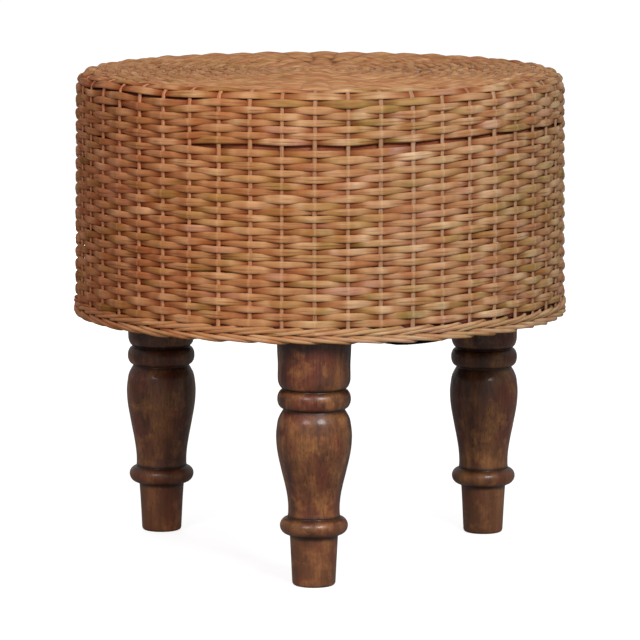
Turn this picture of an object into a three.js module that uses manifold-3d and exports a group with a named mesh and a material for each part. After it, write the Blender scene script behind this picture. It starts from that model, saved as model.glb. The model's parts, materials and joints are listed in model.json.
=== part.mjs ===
// A round woven-cane stool on three turned wooden legs, in millimetres, +Z up.
// The origin is on the floor under the middle of the drum. The front leg is on the -Y side.
import * as THREE from "three";
import { mergeVertices } from "three/addons/utils/BufferGeometryUtils.js";
import Module from "manifold-3d";

// Driving dimensions of the drum
const overallHeight = 446;
const drumRadius = 225;
const undersideHeight = 222.4;
const weaveThickness = 10;
const fitGap = 0.3;
const cutOverrun = 1;

// The weave: rows of cane that run over one upright stake and behind the next
const stakeCount = 48;
const rowPitch = 5.75;
const weaveRelief = 2.4;

// The rim, where the weave bends from the side to the top
const rimInnerRounding = 5.5;
const rimLap = 3.8;

// Across the top every other stake ends at the first radius, then every other one left at the second
const firstStakeEnd = 112;
const secondStakeEnd = 54;
const topEyeRadius = 16;

// Plaited border round the foot of the drum
const borderHeight = 15;
const borderOverhang = 2;
const borderRounding = 5;

// Bent cane poles that give the drum its shape
const poleRadius = 9;

// Boards, posts and the cloth under the drum
const seatBoardThickness = 12;
const baseBoardThickness = 15;
const postRadius = 11;
const postCount = 6;
const clothThickness = 0.8;
const clothRecess = 1.7;
const clothHoleGap = 1;

// Turned legs
const legCount = 3;
const legInset = 49;
const footRadius = 19.5;
const footEdge = 3;
const ankleRadius = 21;
const lowerBeadRadius = 29.7;
const neckRadius = 23.3;
const bellyRadius = 33.4;
const waistRadius = 28.1;
const upperBeadRadius = 32.3;
const collarRadius = 29.7;
const capRadius = 32.1;

// Heights along a leg, as shares of its length
const ankleShare = 0.168;
const lowerBeadShare = 0.24;
const lowerBeadHalfShare = 0.034;
const neckShare = 0.345;
const bellyShare = 0.6;
const waistShare = 0.7;
const upperBeadShare = 0.747;
const upperBeadHalfShare = 0.036;
const collarShare = 0.795;
const capShare = 0.826;

// The rise from neck to belly: share of that height, then share of that swelling
const bellyCurveShares = [
  [0.22, 0.13],
  [0.42, 0.35],
  [0.62, 0.64],
  [0.8, 0.89],
];

// Hanger bolts and tee nuts
const boltRadius = 4;
const boltInLeg = 45;
const boltPoint = 5;
const boltStandOut = 2;
const nutWall = 1.2;
const nutBarrelLength = 10;
const nutFlangeRadius = 9.5;
const nutFlangeThickness = 1.5;

// Wood screws between boards and posts
const screwLength = 40;
const screwRadius = 2.2;
const screwPoint = 5;
const screwHeadRadius = 4.2;
const screwHeadHeight = 3;
const screwHeadRim = 0.6;

// Nails that hold the bent poles
const nailLength = 34;
const nailRadius = 1.4;
const nailPoint = 3;
const nailHeadRadius = 3;
const nailHeadHeight = 1.2;
const nailRecess = 1;

// Facets
const drumSegments = 48;
const poleSides = 8;
const postSegments = 12;
const legSegments = 24;
const fastenerSegments = 8;
const nutSegments = 12;
const arcSteps = 5;

// Sizes that follow from the ones above
const borderRadius = drumRadius + borderOverhang;
const borderTop = undersideHeight + borderHeight;
const weaveFoot = borderTop + fitGap;
const weaveInnerRadius = drumRadius - weaveThickness;
const rimRounding = rimInnerRounding + weaveThickness;
const rimBend = rimRounding - weaveThickness / 2;
const rimCentreRadius = drumRadius - rimRounding;
const rimCentreHeight = overallHeight - rimRounding;
const rimInnerEdge = rimCentreRadius - rimLap;
const topRadius = rimInnerEdge - fitGap;
const hoopOuterRadius = weaveInnerRadius - fitGap;
const hoopRadius = hoopOuterRadius - poleRadius;
const boardRadius = hoopRadius - poleRadius - fitGap;
const seatBoardTop = overallHeight - weaveThickness - fitGap;
const seatBoardUnder = seatBoardTop - seatBoardThickness;
const clothUnder = undersideHeight + clothRecess;
const clothTop = clothUnder + clothThickness;
const baseBoardUnder = clothTop + fitGap;
const baseBoardTop = baseBoardUnder + baseBoardThickness;
const topHoopHeight = seatBoardTop - poleRadius;
const bottomHoopHeight = baseBoardUnder + poleRadius;
const middleHoopHeight = (baseBoardTop + seatBoardUnder) / 2;
const postCircleRadius = boardRadius - postRadius;
const nailHeadCircle = hoopOuterRadius - nailRecess;
const legCircleRadius = drumRadius - legInset;
const legLength = clothUnder - fitGap;
const nutInnerRadius = boltRadius + fitGap;
const nutOuterRadius = nutInnerRadius + nutWall;
const nutFlangeUnder = baseBoardTop + fitGap;
const nutTop = nutFlangeUnder + nutFlangeThickness;

const quarterTurn = Math.PI / 2;
const skinSideLength = rimCentreHeight - weaveFoot;
const skinRimEnd = skinSideLength + rimBend * quarterTurn;
const skinSideEnd = skinRimEnd + rimLap;
const skinTopStart = skinSideEnd + fitGap;
const sideRows = Math.floor(skinSideEnd / rowPitch);
const topRows = Math.floor((topRadius - topEyeRadius) / rowPitch);
const stakeTurn = (2 * Math.PI) / stakeCount;
const legTurn = (2 * Math.PI) / legCount;
const postTurn = (2 * Math.PI) / postCount;
const nailTurn = postTurn / 4;

const wasm = await Module();
wasm.setup();

const stool = new THREE.Group();

const legWood = new THREE.MeshStandardMaterial({ color: 0x6b4429, roughness: 0.45 });
const weaveCane = new THREE.MeshStandardMaterial({ color: 0xb98a4e, roughness: 0.6 });
const borderCane = new THREE.MeshStandardMaterial({ color: 0xa9773f, roughness: 0.6 });
const poleCane = new THREE.MeshStandardMaterial({ color: 0xc7a063, roughness: 0.65 });
const boardWood = new THREE.MeshStandardMaterial({ color: 0xb89467, roughness: 0.8 });
const cloth = new THREE.MeshStandardMaterial({ color: 0x1c1a19, roughness: 0.95 });
const steel = new THREE.MeshStandardMaterial({ color: 0x9c9a94, roughness: 0.4, metalness: 1 });

// Turns an outline of [radius, height] points about the Z axis.
function turned(outline, segments) {
  const points = outline.map(([radius, height]) => new THREE.Vector2(radius, height));
  return new THREE.LatheGeometry(points, segments).rotateX(quarterTurn);
}

// Points of an arc about a centre given as [radius, height], from one angle to another.
function arc([centreRadius, centreHeight], across, up, fromAngle, toAngle, steps = arcSteps) {
  return Array.from({ length: steps + 1 }, (_, step) => {
    const angle = fromAngle + ((toAngle - fromAngle) * step) / steps;
    return [centreRadius + across * Math.cos(angle), centreHeight + up * Math.sin(angle)];
  });
}

function toSolid(geometry) {
  const bare = new THREE.BufferGeometry();
  bare.setAttribute("position", geometry.getAttribute("position"));
  bare.setIndex(geometry.getIndex());
  const merged = mergeVertices(bare);
  return new wasm.Manifold(
    new wasm.Mesh({
      numProp: 3,
      vertProperties: merged.attributes.position.array,
      triVerts: new Uint32Array(merged.index.array),
    }),
  );
}

function toGeometry(solid) {
  const mesh = solid.getMesh();
  const geometry = new THREE.BufferGeometry();
  geometry.setAttribute("position", new THREE.BufferAttribute(mesh.vertProperties, mesh.numProp));
  geometry.setIndex(new THREE.BufferAttribute(mesh.triVerts, 1));
  geometry.computeVertexNormals();
  return geometry;
}

function drilled(geometry, cutters) {
  const cut = cutters.reduce((solid, cutter) => solid.subtract(toSolid(cutter)), toSolid(geometry));
  return toGeometry(cut);
}

// The place at a radius and height, turned by an angle about the Z axis.
function place(angle, radius, height) {
  const turn = new THREE.Matrix4().makeRotationZ(angle);
  return turn.multiply(new THREE.Matrix4().makeTranslation(radius, 0, height));
}

// Copies of a piece, one at each angle about the Z axis.
function addRound(name, geometry, material, angles, radius = 0, height = 0) {
  angles.forEach((angle, index) => {
    const station = new THREE.Group();
    station.rotation.z = angle;
    station.add(named(`${name}_${index + 1}`, geometry, material, [radius, 0, height]));
    stool.add(station);
  });
}

function named(name, geometry, material, position = [0, 0, 0]) {
  const mesh = new THREE.Mesh(geometry, material);
  mesh.name = name;
  mesh.position.set(...position);
  return mesh;
}

const legAngles = Array.from({ length: legCount }, (_, index) => index * legTurn - quarterTurn);
const postAngles = Array.from({ length: postCount }, (_, index) => index * postTurn);
const nailAngles = postAngles.map((angle) => angle + nailTurn);

// Wood screw, head face at height zero and pointing down; grown by a clearance it is its own hole.
function screw(clearance = 0, overrun = 0) {
  const shank = screwRadius + clearance;
  const head = screwHeadRadius + clearance;
  return turned(
    [
      [0, -screwLength - clearance],
      [shank, screwPoint - screwLength - clearance],
      [shank, -screwHeadHeight - clearance],
      [head, -screwHeadRim - clearance],
      [head, overrun],
      [0, overrun],
    ],
    fastenerSegments,
  );
}

// Round nail, drawn the same way.
function nail(clearance = 0, overrun = 0) {
  const shank = nailRadius + clearance;
  const head = nailHeadRadius + clearance;
  return turned(
    [
      [0, -nailLength - clearance],
      [shank, nailPoint - nailLength - clearance],
      [shank, -nailHeadHeight - clearance],
      [head, -nailHeadHeight - clearance],
      [head, overrun],
      [0, overrun],
    ],
    fastenerSegments,
  );
}

const screwFromBelow = screw().rotateX(Math.PI);
const screwHoleFromBelow = () => screw(fitGap, cutOverrun).rotateX(Math.PI);
const screwHoleFromAbove = () => screw(fitGap, cutOverrun);
const nailInward = nail().rotateY(quarterTurn);
const nailHoleInward = () => nail(fitGap, nailRecess + cutOverrun).rotateY(quarterTurn);

// One turned leg, standing on the floor, with the blind hole for its bolt in the top.
function legGeometry() {
  const at = (share) => share * legLength;
  const bead = (heightShare, halfShare, radius, rootRadius) =>
    arc([rootRadius, at(heightShare)], radius - rootRadius, at(halfShare), -quarterTurn, quarterTurn);
  const belly = bellyCurveShares.map(([heightShare, swellShare]) => [
    neckRadius + swellShare * (bellyRadius - neckRadius),
    at(neckShare + heightShare * (bellyShare - neckShare)),
  ]);
  const shoulder = arc(
    [waistRadius, at(bellyShare)],
    bellyRadius - waistRadius,
    at(waistShare - bellyShare),
    0,
    quarterTurn,
  );
  const hole = boltRadius + fitGap;
  return turned(
    [
      [0, 0],
      ...arc([footRadius - footEdge, footEdge], footEdge, footEdge, -quarterTurn, 0, 2),
      [ankleRadius, at(ankleShare)],
      ...bead(lowerBeadShare, lowerBeadHalfShare, lowerBeadRadius, neckRadius),
      [neckRadius, at(neckShare)],
      ...belly,
      ...shoulder,
      ...bead(upperBeadShare, upperBeadHalfShare, upperBeadRadius, collarRadius),
      [collarRadius, at(collarShare)],
      [capRadius, at(capShare)],
      [capRadius, legLength],
      [hole, legLength],
      [hole, legLength - boltInLeg + boltPoint - fitGap],
      [0, legLength - boltInLeg - fitGap],
    ],
    legSegments,
  );
}
addRound("leg", legGeometry(), legWood, legAngles, legCircleRadius);

// Hanger bolts, screwed into the legs and standing up through the tee nuts
const boltOutline = [
  [0, legLength - boltInLeg],
  [boltRadius, legLength - boltInLeg + boltPoint],
  [boltRadius, nutTop + boltStandOut],
  [0, nutTop + boltStandOut],
];
addRound("hanger_bolt", turned(boltOutline, fastenerSegments), steel, legAngles, legCircleRadius);

const nutOutline = [
  [nutInnerRadius, nutFlangeUnder - nutBarrelLength],
  [nutOuterRadius, nutFlangeUnder - nutBarrelLength],
  [nutOuterRadius, nutFlangeUnder],
  [nutFlangeRadius, nutFlangeUnder],
  [nutFlangeRadius, nutTop],
  [nutInnerRadius, nutTop],
  [nutInnerRadius, nutFlangeUnder - nutBarrelLength],
];
addRound("tee_nut", turned(nutOutline, nutSegments), steel, legAngles, legCircleRadius);

// A flat round sheet between two heights
function disc(radius, under, top, segments = drumSegments) {
  return turned([[0, under], [radius, under], [radius, top], [0, top]], segments);
}

// Cloth over the underside, out to the border, with a hole at each bolt
function underClothGeometry() {
  const hole = disc(boltRadius + clothHoleGap, clothUnder - cutOverrun, clothTop + cutOverrun, nutSegments);
  const holes = legAngles.map((angle) => hole.clone().applyMatrix4(place(angle, legCircleRadius, 0)));
  return drilled(disc(hoopOuterRadius, clothUnder, clothTop), holes);
}
stool.add(named("under_cloth", underClothGeometry(), cloth));

// Base board, drilled for the tee nuts, the screws up into the posts and the nails of the bottom hoop
function baseBoardGeometry() {
  const bore = disc(
    nutOuterRadius + fitGap,
    baseBoardUnder - cutOverrun,
    baseBoardTop + cutOverrun,
    nutSegments,
  );
  return drilled(disc(boardRadius, baseBoardUnder, baseBoardTop), [
    ...legAngles.map((angle) => bore.clone().applyMatrix4(place(angle, legCircleRadius, 0))),
    ...postAngles.map((angle) =>
      screwHoleFromBelow().applyMatrix4(place(angle, postCircleRadius, baseBoardUnder)),
    ),
    ...nailAngles.map((angle) =>
      nailHoleInward().applyMatrix4(place(angle, nailHeadCircle, bottomHoopHeight)),
    ),
  ]);
}
stool.add(named("base_board", baseBoardGeometry(), boardWood));

// Seat board, drilled for the screws down into the posts and the nails of the top hoop
function seatBoardGeometry() {
  return drilled(disc(boardRadius, seatBoardUnder, seatBoardTop), [
    ...postAngles.map((angle) =>
      screwHoleFromAbove().applyMatrix4(place(angle, postCircleRadius, seatBoardTop)),
    ),
    ...nailAngles.map((angle) =>
      nailHoleInward().applyMatrix4(place(angle, nailHeadCircle, topHoopHeight)),
    ),
  ]);
}
stool.add(named("seat_board", seatBoardGeometry(), boardWood));

// Posts between the boards, drilled at both ends and for the nail of the middle hoop
function postGeometry() {
  const body = disc(postRadius, baseBoardTop + fitGap, seatBoardUnder - fitGap, postSegments);
  return drilled(body, [
    screwHoleFromBelow().translate(0, 0, baseBoardUnder),
    screwHoleFromAbove().translate(0, 0, seatBoardTop),
    nailHoleInward().translate(nailHeadCircle - postCircleRadius, 0, middleHoopHeight),
  ]);
}
addRound("post", postGeometry(), poleCane, postAngles, postCircleRadius);
addRound("base_screw", screwFromBelow, steel, postAngles, postCircleRadius, baseBoardUnder);
addRound("seat_screw", screw(), steel, postAngles, postCircleRadius, seatBoardTop);

// Bent cane hoops, each nailed from outside
function hoopGeometry(height, angles) {
  const ring = arc([hoopRadius, height], poleRadius, poleRadius, -Math.PI, Math.PI, poleSides);
  return drilled(
    turned(ring, drumSegments),
    angles.map((angle) => nailHoleInward().applyMatrix4(place(angle, nailHeadCircle, height))),
  );
}
const hoops = [
  ["top", topHoopHeight, nailAngles],
  ["middle", middleHoopHeight, postAngles],
  ["bottom", bottomHoopHeight, nailAngles],
];
for (const [level, height, angles] of hoops) {
  stool.add(named(`${level}_hoop`, hoopGeometry(height, angles), poleCane));
  addRound(`${level}_hoop_nail`, nailInward, steel, angles, nailHeadCircle, height);
}

// The middle of the woven skin at a length along it: up the side, round the rim, in across the top
function skinAt(length) {
  const bend = Math.min(Math.max((length - skinSideLength) / rimBend, 0), quarterTurn);
  const across = Math.max(length - skinRimEnd, 0);
  return {
    radius: rimCentreRadius + rimBend * Math.cos(bend) - across,
    height: Math.min(weaveFoot + length, rimCentreHeight) + rimBend * Math.sin(bend),
    bend,
  };
}

// A point at each stake round the drum, as far off the skin's middle as liftAt gives for that stake
function skinRing(length, liftAt) {
  const { radius, height, bend } = skinAt(length);
  return Array.from({ length: stakeCount }, (_, stake) => {
    const lift = liftAt(stake);
    const angle = stake * stakeTurn - quarterTurn;
    const out = radius + lift * Math.cos(bend);
    return { lift, spot: [out * Math.cos(angle), out * Math.sin(angle), height + lift * Math.sin(bend)] };
  });
}

// A plain ring at a radius and height
function plainRing(radius, height) {
  return Array.from({ length: stakeCount }, (_, stake) => {
    const angle = stake * stakeTurn - quarterTurn;
    return { lift: 0, spot: [radius * Math.cos(angle), radius * Math.sin(angle), height] };
  });
}

// How many of the stakes still run at a radius of the top
function stakesAt(radius) {
  if (radius > firstStakeEnd) {
    return stakeCount;
  }
  return radius > secondStakeEnd ? stakeCount / 2 : stakeCount / 4;
}

// The outside of one row: out where it runs over a stake, in where it runs behind
function rowRing(length, row) {
  const stakes = stakesAt(skinAt(length).radius);
  const parity = row % 2 === 0 ? 1 : -1;
  return skinRing(length, (stake) => {
    const over = parity * Math.cos((Math.PI * stakes * stake) / stakeCount);
    return weaveThickness / 2 - (weaveRelief * (1 - over)) / 2;
  });
}

function rowRings(start, count, firstRow) {
  return Array.from({ length: count }, (_, index) =>
    rowRing(start + (index + 1 / 2) * rowPitch, firstRow + index),
  );
}

// Joins rings into a skin; a bent face folds between its two deeper corners, so each crown stands alone
function ringGeometry(rings) {
  const triangles = [];
  for (let ring = 0; ring < rings.length - 1; ring += 1) {
    for (let stake = 0; stake < stakeCount; stake += 1) {
      const next = (stake + 1) % stakeCount;
      const [near, nearNext] = [rings[ring][stake], rings[ring][next]];
      const [far, farNext] = [rings[ring + 1][stake], rings[ring + 1][next]];
      if (near.lift + farNext.lift < nearNext.lift + far.lift) {
        triangles.push(near, nearNext, farNext, near, farNext, far);
      } else {
        triangles.push(near, nearNext, far, nearNext, farNext, far);
      }
    }
  }
  const geometry = new THREE.BufferGeometry();
  const spots = triangles.flatMap((corner) => corner.spot);
  geometry.setAttribute("position", new THREE.Float32BufferAttribute(spots, 3));
  const faceted = toGeometry(toSolid(mergeVertices(geometry))).toNonIndexed();
  faceted.computeVertexNormals();
  return faceted;
}

// Woven skin of the side, turned in over the top hoop
function wovenSideGeometry() {
  const middleLift = (weaveThickness - weaveRelief) / 2;
  const rimCentre = [rimCentreRadius, rimCentreHeight];
  const inner = [
    [rimInnerEdge, overallHeight - weaveThickness],
    ...arc(rimCentre, rimInnerRounding, rimInnerRounding, quarterTurn, 0),
    [weaveInnerRadius, weaveFoot],
  ];
  return ringGeometry([
    skinRing(0, () => -weaveThickness / 2),
    skinRing(0, () => middleLift),
    ...rowRings(0, sideRows, 0),
    skinRing(skinSideEnd, () => middleLift),
    ...inner.map(([radius, height]) => plainRing(radius, height)),
  ]);
}
stool.add(named("woven_side", wovenSideGeometry(), weaveCane));

// Woven top, with a flat eye in the middle
function wovenTopGeometry() {
  const under = overallHeight - weaveThickness;
  return ringGeometry([
    plainRing(0, under),
    plainRing(topRadius, under),
    skinRing(skinTopStart, () => (weaveThickness - weaveRelief) / 2),
    ...rowRings(skinTopStart, topRows, sideRows),
    plainRing(topEyeRadius, overallHeight),
    plainRing(0, overallHeight),
  ]);
}
stool.add(named("woven_top", wovenTopGeometry(), weaveCane));

// Plaited border, a thick rounded ring under the woven side
function borderGeometry() {
  const low = undersideHeight + borderRounding;
  const high = borderTop - borderRounding;
  const out = borderRadius - borderRounding;
  const corner = (centre, fromAngle) =>
    arc(centre, borderRounding, borderRounding, fromAngle, fromAngle + quarterTurn, 3);
  return turned(
    [
      [weaveInnerRadius, undersideHeight],
      ...corner([out, low], -quarterTurn),
      ...corner([out, high], 0),
      [weaveInnerRadius, borderTop],
      [weaveInnerRadius, undersideHeight],
    ],
    drumSegments,
  );
}
stool.add(named("border", borderGeometry(), borderCane));

export default stool;
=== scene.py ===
"""A round woven-cane stool on three turned legs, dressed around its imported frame.

Metres, +Z up, front on the -Y side. An angle is in radians and runs from +X towards +Y, unless it is
said to be from the front; those are positive to the right.
"""

import json
import math
from collections import namedtuple

import bmesh
import bpy
import numpy as np
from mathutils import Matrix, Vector


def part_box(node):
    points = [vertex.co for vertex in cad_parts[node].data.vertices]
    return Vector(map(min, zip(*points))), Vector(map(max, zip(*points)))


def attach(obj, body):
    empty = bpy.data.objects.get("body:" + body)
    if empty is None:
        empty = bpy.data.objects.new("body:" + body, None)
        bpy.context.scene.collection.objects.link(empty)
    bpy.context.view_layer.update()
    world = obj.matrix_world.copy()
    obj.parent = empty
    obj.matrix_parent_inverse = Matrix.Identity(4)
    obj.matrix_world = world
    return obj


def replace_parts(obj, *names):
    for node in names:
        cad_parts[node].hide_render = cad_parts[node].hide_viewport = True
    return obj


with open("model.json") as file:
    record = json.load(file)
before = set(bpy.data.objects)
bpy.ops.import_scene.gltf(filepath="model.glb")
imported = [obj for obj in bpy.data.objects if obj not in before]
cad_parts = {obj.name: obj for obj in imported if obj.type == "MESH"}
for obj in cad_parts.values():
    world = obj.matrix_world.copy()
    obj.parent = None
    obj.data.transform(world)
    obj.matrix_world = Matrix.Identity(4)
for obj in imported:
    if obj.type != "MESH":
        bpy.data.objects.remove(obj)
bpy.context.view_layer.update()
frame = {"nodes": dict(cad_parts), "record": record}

BODY = "root"
LEG_NODES = ("leg_1", "leg_2", "leg_3")
MM = 0.001
TURN = 2 * math.pi
QUARTER = math.pi / 2
rng = np.random.default_rng(12)

# Sizes taken from the frame
border_low, border_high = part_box("border")
side_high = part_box("woven_side")[1]
top_low, top_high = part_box("woven_top")
drum_radius = side_high[0]
seat_height = top_high[2]
weave_thickness = top_high[2] - top_low[2]
border_foot = border_low[2]
border_radius = border_high[0]


# Skin: the middle surface of the weave, up the side, over the rim and in to the middle of the top

RIM_BEND = 10.5 * MM
middle_radius = drum_radius - weave_thickness / 2
rim_radius = middle_radius - RIM_BEND
rim_height = seat_height - weave_thickness / 2 - RIM_BEND
side_length = rim_height - border_foot
rim_length = RIM_BEND * QUARTER
skin_length = side_length + rim_length + rim_radius

# The side spreads a little towards the foot and draws in under the rim
FOOT_FLARE = 1.0 * MM
RIM_DRAW = 0.9 * MM


def skin(s):
    """Radius, height and outward normal of the skin at a length s up from the border's foot."""
    s = np.asarray(s, float)
    bend = np.clip((s - side_length) / RIM_BEND, 0, QUARTER)
    on_top = np.maximum(s - side_length - rim_length, 0)
    flare = FOOT_FLARE - (FOOT_FLARE + RIM_DRAW) * np.clip(s / side_length, 0, 1)
    radius = rim_radius + RIM_BEND * np.cos(bend) - on_top + flare * np.cos(bend)
    height = np.minimum(border_foot + s, rim_height) + RIM_BEND * np.sin(bend)
    return radius, height, np.cos(bend), np.sin(bend)


def in_space(angle, radius, height):
    """Points, or directions, from their angle round the drum, radius and height."""
    height = np.broadcast_to(height, angle.shape)
    return np.stack([radius * np.cos(angle), radius * np.sin(angle), height], -1)


def from_front(angle):
    """An angle turned into one measured from the front."""
    return (angle + QUARTER + math.pi) % TURN - math.pi


def eased_step(x):
    """0 below 0, 1 above 1, and a smooth rise between."""
    x = np.clip(x, 0, 1)
    return x * x * (3 - 2 * x)


def window(angle, start, end, fade):
    """1 between two angles, fading to 0 at them."""
    rise = np.clip((angle - start) / fade, 0, 1)
    fall = np.clip((end - angle) / fade, 0, 1)
    return np.sin(QUARTER * rise * fall) ** 2


# Random variation: turn runs from 0 to 1 round the drum


def ripple(turn, waves, size):
    """A smooth random wave round the drum."""
    orders = np.arange(1, waves + 1)[:, None]
    phases = rng.uniform(0, TURN, (waves, 1))
    heights = rng.normal(0, 1, (waves, 1))
    return size * (heights * np.cos(TURN * orders * turn[None, :] + phases)).sum(0) / math.sqrt(waves)


def shared_drift(size, waves):
    """A slow wave that neighbouring rows share, as a function of the turn."""
    orders = np.arange(1, waves + 1)[:, None]
    phases = rng.uniform(0, TURN, (waves, 1))
    heights = rng.normal(0, size / 2, (waves, 1))
    return lambda turn: (heights * np.cos(TURN * orders * turn[None, :] + phases)).sum(0)


def by_stake(turn, count, spread):
    """A random value at each stake, eased from one stake to the next."""
    values = rng.normal(0, spread, count)
    place = (turn % 1.0) * count
    stake = np.floor(place).astype(int) % count
    ease = (1 - np.cos(math.pi * (place - np.floor(place)))) / 2
    return values[stake] * (1 - ease) + values[(stake + 1) % count] * ease


# Strands: every cane is a tube with the same section

# Angles of the points round a section, closest together on its outer face
SECTION = np.radians((0, 35, 62, 90, 118, 145, 180, 225, 270, 315))
GROOVE_WIDTH = math.radians(20)

# How far apart the strands lie in their material's noise, along them and between them
LAY_ALONG = 9
LAY_APART = 40


class Strands:
    """Gathers tubes of cane into one mesh, with what their material reads at each point.

    lay is the place on a strand: metres along it, share of the way round it, and a number of its own.
    depth is 0 behind a stake and 1 over one; the material paints shade where it is low and a highlight near
    1."""

    def __init__(self):
        self.points, self.faces, self.lay, self.depth = [], [], [], []
        self.count = 0

    def tube(self, centre, across, out, high, deep, depth, groove=0.0, back=0.0, closed=True):
        """A tube along centre (n, 3), with half sizes high along across and deep along out (n, 3).

        groove hollows its outer face and back deepens its inner side, both as shares of deep."""
        n, sides = len(centre), len(SECTION)
        each_point = (np.broadcast_to(value, n)[:, None] for value in (high, deep, depth, groove, back))
        high, deep, depth, groove, back = each_point
        hollow = 1 - groove * np.exp(-(((SECTION - QUARTER) / GROOVE_WIDTH) ** 2))
        inner = 1 + back * (SECTION > math.pi)
        ring = (
            centre[:, None]
            + across[:, None] * (high * np.cos(SECTION))[..., None]
            + out[:, None] * (deep * hollow * inner * np.sin(SECTION))[..., None]
        )
        along = np.concatenate([[0], np.cumsum(np.linalg.norm(np.diff(centre, axis=0), axis=1))])
        lay = np.empty((n, sides, 3))
        lay[..., 0] = along[:, None] + rng.uniform(0, LAY_ALONG)
        lay[..., 1] = SECTION / TURN
        lay[..., 2] = rng.uniform(0, LAY_APART)
        step = np.arange(n if closed else n - 1)[:, None] * sides
        after = (step + sides) % (n * sides)
        side = np.arange(sides)[None, :]
        beside = (side + 1) % sides
        corners = (step + side, step + beside, after + beside, after + side)
        self.points.append(ring.reshape(-1, 3))
        self.lay.append(lay.reshape(-1, 3))
        self.depth.append(np.broadcast_to(depth, (n, sides)).ravel())
        self.faces += (np.stack(corners, -1).reshape(-1, 4) + self.count).tolist()
        if not closed:
            self.faces.append([self.count + j for j in range(sides)][::-1])
            self.faces.append([self.count + (n - 1) * sides + j for j in range(sides)])
        self.count += n * sides

    def piece(self, name, material, slot):
        """The tubes so far, as one piece."""
        mesh = bpy.data.meshes.new(name)
        mesh.from_pydata(np.concatenate(self.points), [], self.faces)
        lay = mesh.attributes.new("lay", "FLOAT_VECTOR", "POINT")
        lay.data.foreach_set("vector", np.concatenate(self.lay).ravel())
        depth = mesh.attributes.new("depth", "FLOAT", "POINT")
        depth.data.foreach_set("value", np.concatenate(self.depth))
        return placed(name, mesh, material)


def placed(name, mesh, material):
    """Puts a mesh in the scene as a smooth piece that rides on the stool."""
    mesh.materials.append(material)
    mesh.shade_smooth()
    piece = bpy.data.objects.new(name, mesh)
    bpy.context.collection.objects.link(piece)
    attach(piece, BODY)
    return piece


# Weave: rows of cane that run over one stake and under the next

# Count of stakes and the first one's angle, the rows' pitch, and the height of the plait below them
STAKES = 48
FIRST_STAKE = math.radians(-89.5)
ROW_PITCH = 5.75 * MM
PLAIT_HEIGHT = 15.3 * MM

# Half a strand's height and depth, and how far off the skin its middle lies over a stake
STRAND_HIGH = 3.2 * MM
STRAND_DEEP = 1.5 * MM
CROWN = weave_thickness / 2 - STRAND_DEEP

# A strand is higher over a stake than between two, and lower behind one, by the share SWELL. Over a
# stake its inner side is deeper by OVER_BACK, and half way round the rim it is higher by RIM_SWELL
SWELL = 0.08
OVER_BACK = 0.8
RIM_SWELL = 0.12

# A row has a point about every STEP_LENGTH, and from LEAST_STEPS to MOST_STEPS of them for each stake.
# The nearer SHARPNESS is to 1, the sharper the row turns over its stakes
STEP_LENGTH = 3.6 * MM
LEAST_STEPS = 4
MOST_STEPS = 8
SHARPNESS = 0.92

# How far strands swing in and out of the stakes, on the side and on the top; the swing fades from one
# to the other over the rim and RELIEF_FADE past it, and is less by RIM_EVEN half way round the rim
SIDE_RELIEF = 1.8 * MM
TOP_RELIEF = 1.0 * MM
RELIEF_FADE = 20 * MM
RIM_EVEN = 0.35

# The back of the top is woven looser, round this radius and over this width: its strands swing more,
# get deeper painted shade where they dive, and some get a painted shadow
LOOSE_RADIUS = 112 * MM
LOOSE_WIDTH = 60 * MM
LOOSE_RELIEF = 1.2 * MM
LOOSE_HOLLOW_SHADE = 1.6
LOOSE_PAINTED_SHADOW = 0.45
LOOSE_PAINTED_SHADOW_MOST = 0.9

# Random spread: how far rows wander up and down, and how much their swing, height and groove vary
SHARED_WANDER = 0.5 * MM
SHARED_WAVES = 5
ROW_WANDER = 0.25 * MM
ROW_WAVES = 9
SWING_SPREAD = 0.05
HEIGHT_SPREAD = 0.08
ROW_SPREAD = 0.04
THINNEST = 0.94
GROOVE_WAVES = 60
GROOVE_SPREAD = 0.2
GROOVE_DEEPEST = 0.35

# The cane's material paints a pale highlight on a strand's crest where its depth is over the first of
# these; on the rim and the top, where depth is at most the second, no highlight is painted
CREST_HIGHLIGHT = 0.97
NO_CREST_HIGHLIGHT = 0.96

# On the top the stakes thin out towards the middle: at each of these radii every second one ends. The
# rows end at the eye
STAKE_ENDS = (112 * MM, 54 * MM)
TOP_EYE = 10 * MM

# A loose gap between rows: its length up the skin, its width, and where it starts and ends and how it
# fades, as angles from the front
Gap = namedtuple("Gap", "at width start end fade")
SEAM = Gap(side_length - 35.6 * MM, 4.8 * MM, math.radians(-36), math.radians(88), math.radians(14))
SLACK = Gap(side_length - 8.7 * MM, 4.0 * MM, math.radians(-68), math.radians(-42), math.radians(9))
RIM_SLACK = Gap(side_length + 2.7 * MM, 2.8 * MM, math.radians(-72), math.radians(-28), math.radians(9))
GAPS = (SEAM, SLACK, RIM_SLACK)

# The seam is narrower at its right end by the share GAP_NARROWS, and the other gaps are all along. A gap
# pushes the rows above it up by GAP_UP of its width, and those below it down by the rest. Upwards the
# push dies out at GAP_REACH of the flat top's radius, and downwards with the power GAP_POWER
GAP_NARROWS = 0.45
GAP_UP = 0.75
GAP_REACH = 0.8
GAP_POWER = 6

# On the right the rows climb: most at the seam, and over this much of the turn
CLIMB = 6 * MM
CLIMB_END = math.radians(55)


def looseness(s, angle):
    """How loose the weave is, from 0 to 1."""
    off = (skin_length - s - LOOSE_RADIUS) / LOOSE_WIDTH
    return np.exp(-(off**2)) * (1 + np.sin(angle)) / 2


def relief(s, angle):
    """How far strands swing in and out of the stakes."""
    past = np.asarray(s, float) - side_length
    fade = np.clip(past / (rim_length + RELIEF_FADE), 0, 1)
    even = 1 - RIM_EVEN * np.sin(2 * np.clip(past / RIM_BEND, 0, QUARTER))
    plain = (SIDE_RELIEF + (TOP_RELIEF - SIDE_RELIEF) * fade) * even
    return plain + LOOSE_RELIEF * looseness(s, angle)


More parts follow.
